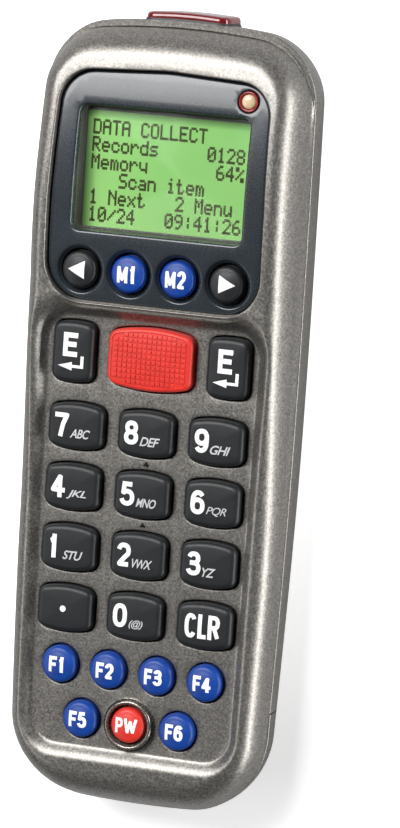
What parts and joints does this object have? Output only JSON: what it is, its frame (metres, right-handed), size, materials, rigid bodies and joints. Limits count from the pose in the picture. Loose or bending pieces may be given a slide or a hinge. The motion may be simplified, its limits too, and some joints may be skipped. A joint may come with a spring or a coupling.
{
  "type": "handheld barcode data terminal",
  "caption": "Hand-held data terminal: rubber keypad and green character display in a rolled metallic casing, red scan window in the end, sliding battery door.",
  "frame": {"origin": "middle of the flat back, on its surface", "axes": "+Z out of the keypad, +Y along the casing towards the scan window, +X to the right when the keypad is read upright"},
  "size_m": [0.054, 0.1499, 0.0225],
  "materials": {
    "shell_paint": "satin metallic grey lacquer with a fine speckle, on moulded plastic",
    "bezel_plastic": "semi-gloss dark grey",
    "clear_window": "clear acrylic",
    "lcd_glass": "green reflective liquid crystal cell",
    "white_plastic": "moulded white frame and light guide",
    "ribbon": "polyimide ribbon",
    "led_amber": "tinted epoxy dome",
    "red_window": "dark red translucent acrylic",
    "lens_glass": "coated lens",
    "lamp_red": "red epoxy",
    "board_green": "solder mask over laminate",
    "chip_black": "moulded epoxy",
    "gold": "gold plated",
    "dark_plastic": "moulded black",
    "rubber_black": "satin black silicone with printed legends",
    "rubber_blue": "satin blue silicone with printed legends",
    "rubber_red": "satin red silicone with printed legends",
    "mat_grey": "silicone web",
    "cell_sleeve": "printed sleeve over a steel can",
    "steel": "nickel plated",
    "ir_plastic": "infra-red passing black-red acrylic"
  },
  "bodies": {
    "casing": {"front_shell": "shell_paint", "rear_shell": "shell_paint", "display_bezel": "bezel_plastic", "display_lens": "clear_window", "lcd_panel": "lcd_glass", "lcd_holder": "white_plastic", "lcd_backlight": "white_plastic", "lcd_ribbon": "ribbon", "status_led": "led_amber", "scan_window": "red_window", "scan_engine": "dark_plastic", "scan_engine_lens": "lens_glass", "scan_lamps": "lamp_red", "main_board": "board_green", "board_chips": "chip_black", "key_contacts": "gold", "keypad_mat": "mat_grey", "buzzer": "dark_plastic", "backup_cell": "steel", "battery_tray": "dark_plastic", "battery_cells": "cell_sleeve", "battery_springs": "steel", "battery_plates": "steel", "charge_pads": "gold", "data_window": "ir_plastic", "case_screws": "steel", "board_screws": "steel"},
    "key_left": {"key_left": "rubber_black"},
    "key_m1": {"key_m1": "rubber_blue"},
    "key_m2": {"key_m2": "rubber_blue"},
    "key_right": {"key_right": "rubber_black"},
    "key_enter_left": {"key_enter_left": "rubber_black"},
    "key_scan": {"key_scan": "rubber_red"},
    "key_enter_right": {"key_enter_right": "rubber_black"},
    "key_7": {"key_7": "rubber_black"},
    "key_8": {"key_8": "rubber_black"},
    "key_9": {"key_9": "rubber_black"},
    "key_4": {"key_4": "rubber_black"},
    "key_5": {"key_5": "rubber_black"},
    "key_6": {"key_6": "rubber_black"},
    "key_1": {"key_1": "rubber_black"},
    "key_2": {"key_2": "rubber_black"},
    "key_3": {"key_3": "rubber_black"},
    "key_dot": {"key_dot": "rubber_black"},
    "key_0": {"key_0": "rubber_black"},
    "key_clear": {"key_clear": "rubber_black"},
    "key_f1": {"key_f1": "rubber_blue"},
    "key_f2": {"key_f2": "rubber_blue"},
    "key_f3": {"key_f3": "rubber_blue"},
    "key_f4": {"key_f4": "rubber_blue"},
    "key_f5": {"key_f5": "rubber_blue"},
    "key_power": {"key_power": "rubber_red"},
    "key_f6": {"key_f6": "rubber_blue"},
    "battery_door": {"battery_door": "shell_paint"}
  },
  "joints": [
    {"name": "press_left", "type": "slide", "parent": "casing", "child": "key_left", "axis": [0, 0, -1], "range_m": [0, 0.001], "stiffness_N_per_m": 1500, "springref_m": -0.0003},
    {"name": "press_m1", "type": "slide", "parent": "casing", "child": "key_m1", "axis": [0, 0, -1], "range_m": [0, 0.001], "stiffness_N_per_m": 1500, "springref_m": -0.0003},
    {"name": "press_m2", "type": "slide", "parent": "casing", "child": "key_m2", "axis": [0, 0, -1], "range_m": [0, 0.001], "stiffness_N_per_m": 1500, "springref_m": -0.0003},
    {"name": "press_right", "type": "slide", "parent": "casing", "child": "key_right", "axis": [0, 0, -1], "range_m": [0, 0.001], "stiffness_N_per_m": 1500, "springref_m": -0.0003},
    {"name": "press_enter_left", "type": "slide", "parent": "casing", "child": "key_enter_left", "axis": [0, 0, -1], "range_m": [0, 0.001], "stiffness_N_per_m": 1500, "springref_m": -0.0003},
    {"name": "press_scan", "type": "slide", "parent": "casing", "child": "key_scan", "axis": [0, 0, -1], "range_m": [0, 0.001], "stiffness_N_per_m": 1500, "springref_m": -0.0003},
    {"name": "press_enter_right", "type": "slide", "parent": "casing", "child": "key_enter_right", "axis": [0, 0, -1], "range_m": [0, 0.001], "stiffness_N_per_m": 1500, "springref_m": -0.0003},
    {"name": "press_7", "type": "slide", "parent": "casing", "child": "key_7", "axis": [0, 0, -1], "range_m": [0, 0.001], "stiffness_N_per_m": 1500, "springref_m": -0.0003},
    {"name": "press_8", "type": "slide", "parent": "casing", "child": "key_8", "axis": [0, 0, -1], "range_m": [0, 0.001], "stiffness_N_per_m": 1500, "springref_m": -0.0003},
    {"name": "press_9", "type": "slide", "parent": "casing", "child": "key_9", "axis": [0, 0, -1], "range_m": [0, 0.001], "stiffness_N_per_m": 1500, "springref_m": -0.0003},
    {"name": "press_4", "type": "slide", "parent": "casing", "child": "key_4", "axis": [0, 0, -1], "range_m": [0, 0.001], "stiffness_N_per_m": 1500, "springref_m": -0.0003},
    {"name": "press_5", "type": "slide", "parent": "casing", "child": "key_5", "axis": [0, 0, -1], "range_m": [0, 0.001], "stiffness_N_per_m": 1500, "springref_m": -0.0003},
    {"name": "press_6", "type": "slide", "parent": "casing", "child": "key_6", "axis": [0, 0, -1], "range_m": [0, 0.001], "stiffness_N_per_m": 1500, "springref_m": -0.0003},
    {"name": "press_1", "type": "slide", "parent": "casing", "child": "key_1", "axis": [0, 0, -1], "range_m": [0, 0.001], "stiffness_N_per_m": 1500, "springref_m": -0.0003},
    {"name": "press_2", "type": "slide", "parent": "casing", "child": "key_2", "axis": [0, 0, -1], "range_m": [0, 0.001], "stiffness_N_per_m": 1500, "springref_m": -0.0003},
    {"name": "press_3", "type": "slide", "parent": "casing", "child": "key_3", "axis": [0, 0, -1], "range_m": [0, 0.001], "stiffness_N_per_m": 1500, "springref_m": -0.0003},
    {"name": "press_dot", "type": "slide", "parent": "casing", "child": "key_dot", "axis": [0, 0, -1], "range_m": [0, 0.001], "stiffness_N_per_m": 1500, "springref_m": -0.0003},
    {"name": "press_0", "type": "slide", "parent": "casing", "child": "key_0", "axis": [0, 0, -1], "range_m": [0, 0.001], "stiffness_N_per_m": 1500, "springref_m": -0.0003},
    {"name": "press_clear", "type": "slide", "parent": "casing", "child": "key_clear", "axis": [0, 0, -1], "range_m": [0, 0.001], "stiffness_N_per_m": 1500, "springref_m": -0.0003},
    {"name": "press_f1", "type": "slide", "parent": "casing", "child": "key_f1", "axis": [0, 0, -1], "range_m": [0, 0.001], "stiffness_N_per_m": 1500, "springref_m": -0.0003},
    {"name": "press_f2", "type": "slide", "parent": "casing", "child": "key_f2", "axis": [0, 0, -1], "range_m": [0, 0.001], "stiffness_N_per_m": 1500, "springref_m": -0.0003},
    {"name": "press_f3", "type": "slide", "parent": "casing", "child": "key_f3", "axis": [0, 0, -1], "range_m": [0, 0.001], "stiffness_N_per_m": 1500, "springref_m": -0.0003},
    {"name": "press_f4", "type": "slide", "parent": "casing", "child": "key_f4", "axis": [0, 0, -1], "range_m": [0, 0.001], "stiffness_N_per_m": 1500, "springref_m": -0.0003},
    {"name": "press_f5", "type": "slide", "parent": "casing", "child": "key_f5", "axis": [0, 0, -1], "range_m": [0, 0.001], "stiffness_N_per_m": 1500, "springref_m": -0.0003},
    {"name": "press_power", "type": "slide", "parent": "casing", "child": "key_power", "axis": [0, 0, -1], "range_m": [0, 0.001], "stiffness_N_per_m": 1500, "springref_m": -0.0003},
    {"name": "press_f6", "type": "slide", "parent": "casing", "child": "key_f6", "axis": [0, 0, -1], "range_m": [0, 0.001], "stiffness_N_per_m": 1500, "springref_m": -0.0003},
    {"name": "door_slide", "type": "slide", "parent": "casing", "child": "battery_door", "axis": [0, -1, 0], "range_m": [0, 0.056]}
  ]
}
